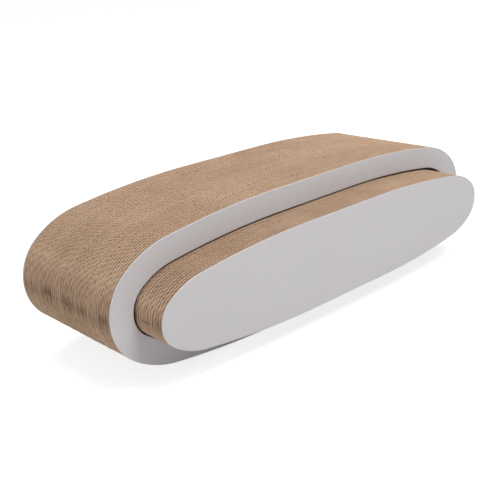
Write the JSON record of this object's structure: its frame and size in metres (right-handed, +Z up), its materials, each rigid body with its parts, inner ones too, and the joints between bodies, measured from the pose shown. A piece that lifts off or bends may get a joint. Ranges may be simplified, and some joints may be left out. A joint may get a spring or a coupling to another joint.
{
  "type": "cardboard cat scratcher",
  "caption": "Long rounded cat scratcher ring of stacked corrugated sheets with a matching block that slides in its opening.",
  "frame": {"origin": "on the floor, under the middle of the ring", "axes": "+X along the length, +Y across the width away from the side that the block slides out of, +Z up"},
  "size_m": [0.7, 0.2501, 0.189],
  "materials": {
    "corrugated": "matte",
    "face_board": "matte"
  },
  "bodies": {
    "ring": {"ring_front_panel": "face_board", "ring_back_panel": "face_board", "ring_sheets_01": "corrugated", "ring_sheets_02": "corrugated", "ring_sheets_03": "corrugated", "ring_sheets_04": "corrugated", "ring_sheets_05": "corrugated", "ring_sheets_06": "corrugated", "ring_sheets_07": "corrugated", "ring_sheets_08": "corrugated", "ring_sheets_09": "corrugated", "ring_sheets_10": "corrugated", "ring_sheets_11": "corrugated", "ring_sheets_12": "corrugated", "ring_sheets_13": "corrugated", "ring_sheets_14": "corrugated", "ring_sheets_15": "corrugated", "ring_sheets_16": "corrugated", "ring_sheets_17": "corrugated", "ring_sheets_18": "corrugated", "ring_sheets_19": "corrugated", "ring_sheets_20": "corrugated", "ring_sheets_21": "corrugated"},
    "block": {"block_front_panel": "face_board", "block_back_panel": "face_board", "block_sheets_01": "corrugated", "block_sheets_02": "corrugated", "block_sheets_03": "corrugated", "block_sheets_04": "corrugated", "block_sheets_05": "corrugated", "block_sheets_06": "corrugated", "block_sheets_07": "corrugated", "block_sheets_08": "corrugated", "block_sheets_09": "corrugated", "block_sheets_10": "corrugated", "block_sheets_11": "corrugated", "block_sheets_12": "corrugated", "block_sheets_13": "corrugated", "block_sheets_14": "corrugated", "block_sheets_15": "corrugated", "block_sheets_16": "corrugated", "block_sheets_17": "corrugated", "block_sheets_18": "corrugated", "block_sheets_19": "corrugated", "block_sheets_20": "corrugated", "block_sheets_21": "corrugated"}
  },
  "joints": [
    {"name": "block_slide", "type": "slide", "parent": "ring", "child": "block", "axis": [-0.0148, -0.9999, 0], "range_m": [-0.054, 0.15]}
  ]
}
